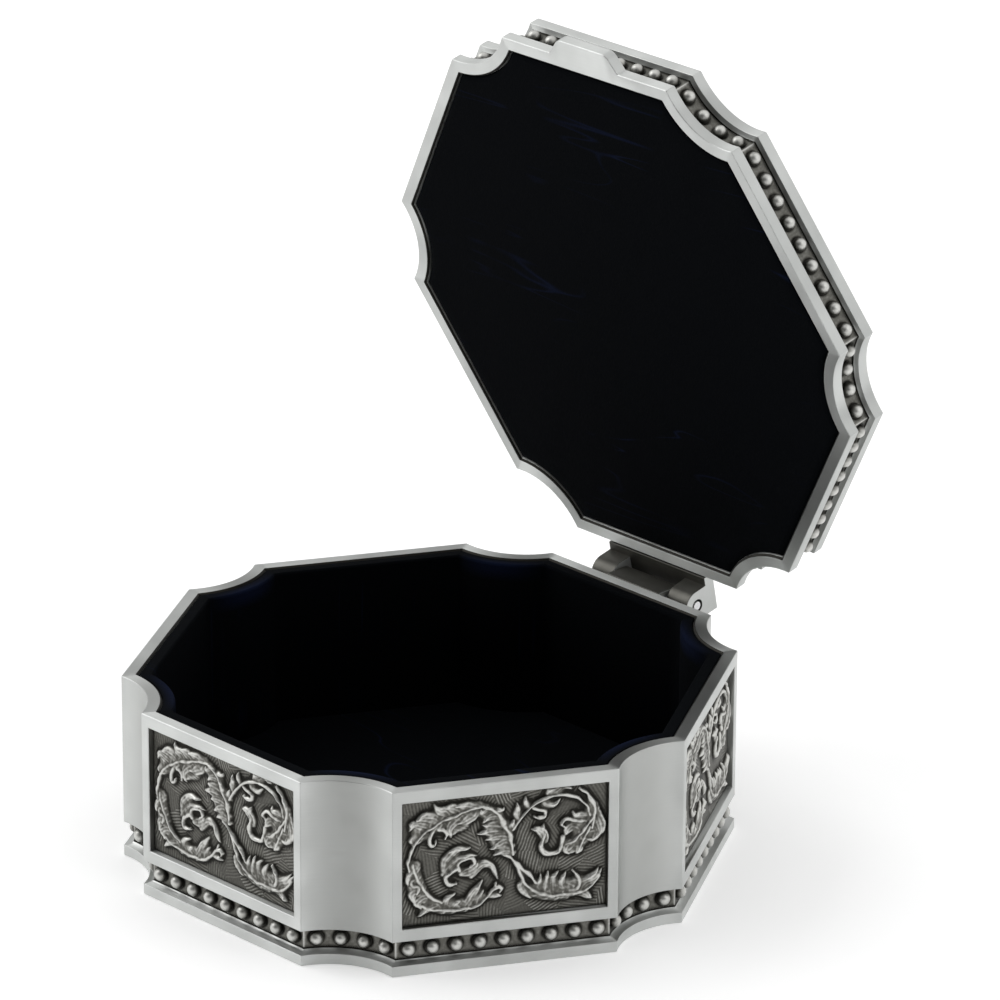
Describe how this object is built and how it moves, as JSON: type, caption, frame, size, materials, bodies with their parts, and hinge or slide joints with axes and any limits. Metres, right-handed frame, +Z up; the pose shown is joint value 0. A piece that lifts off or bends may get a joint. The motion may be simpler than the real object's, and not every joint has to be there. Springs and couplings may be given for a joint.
{
  "type": "trinket box",
  "caption": "Hexagonal metal trinket box with scooped corners, leaf scroll relief panels, beaded bands, a dark velvet lining and a rear-hinged lid, standing open.",
  "frame": {"origin": "centre of the underside, on the felt that the box rests on", "axes": "+Z up, -Y towards the front side with the thumb tab, +Y towards the hinge, +X to the right as seen from the front"},
  "size_m": [0.0956, 0.1037, 0.1248],
  "materials": {
    "pewter_brushed": "pewter plating on cast zinc alloy, brushed satin",
    "pewter_aged": "pewter plating on cast zinc alloy, oxidised dark and polished on the high points",
    "pin_steel": "drawn steel wire, bright",
    "velvet_navy": "short-pile velvet, near black with a blue sheen",
    "card_grey": "grey paperboard, matte",
    "felt_black": "pressed felt, matte"
  },
  "bodies": {
    "base": {"base_wall": "pewter_brushed", "base_bead_band": "pewter_aged", "base_plinth": "pewter_brushed", "base_floor": "pewter_brushed", "base_felt": "felt_black", "plaque_front": "pewter_aged", "plaque_front_right": "pewter_aged", "plaque_back_right": "pewter_aged", "plaque_back": "pewter_aged", "plaque_back_left": "pewter_aged", "plaque_front_left": "pewter_aged", "lining_wall_card": "card_grey", "lining_wall_velvet": "velvet_navy", "lining_floor_card": "card_grey", "lining_floor_pad": "velvet_navy", "base_hinge_lug": "pewter_brushed", "hinge_pin": "pin_steel"},
    "lid": {"lid_hinge_lug": "pewter_brushed", "lid_rim": "pewter_brushed", "lid_bead_band": "pewter_aged", "lid_top": "pewter_brushed", "lid_plaque": "pewter_aged", "lid_pad_card": "card_grey", "lid_pad": "velvet_navy"}
  },
  "joints": [
    {"name": "lid_hinge", "type": "hinge", "parent": "base", "child": "lid", "pos_m": [0, 0.0493, 0.0288], "axis": [-1, 0, 0], "range_deg": [-78.4, 16.6]}
  ]
}
